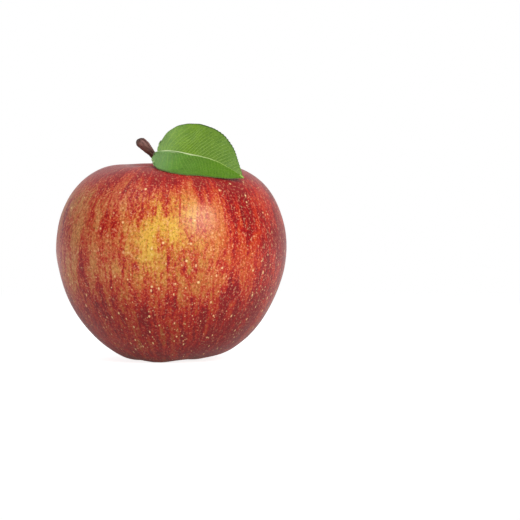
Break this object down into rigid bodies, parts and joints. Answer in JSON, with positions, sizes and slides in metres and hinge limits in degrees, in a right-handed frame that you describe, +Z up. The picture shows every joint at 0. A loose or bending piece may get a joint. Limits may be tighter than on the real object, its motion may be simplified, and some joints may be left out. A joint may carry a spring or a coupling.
{
  "type": "apple with stalk and leaf",
  "caption": "Ripe red and gold apple with a woody stalk in a deep cavity, one green leaf on its shoulder and a dry calyx in the basin underneath.",
  "frame": {"origin": "on the surface the apple stands on, under the middle of the fruit", "axes": "+Z up from the calyx end to the stalk end; -Y is the front, over which the leaf lies, and +X is to the right of it"},
  "size_m": [0.0798, 0.079, 0.0816],
  "materials": {
    "skin": "waxy, crimson streaks over gold, pale dots",
    "stalk_bark": "rough, dark brown",
    "leaf_green": "satin upper face, pale veins",
    "dry_flower": "dry, felted"
  },
  "bodies": {
    "root": {"fruit": "skin", "stalk": "stalk_bark", "leaf": "leaf_green", "sepal_1": "dry_flower", "sepal_2": "dry_flower", "sepal_3": "dry_flower", "sepal_4": "dry_flower", "sepal_5": "dry_flower", "stamen_1": "dry_flower", "stamen_2": "dry_flower", "stamen_3": "dry_flower", "stamen_4": "dry_flower", "stamen_5": "dry_flower", "stamen_6": "dry_flower", "stamen_7": "dry_flower", "stamen_8": "dry_flower", "stamen_9": "dry_flower", "stamen_10": "dry_flower", "styles": "dry_flower"}
  },
  "joints": []
}
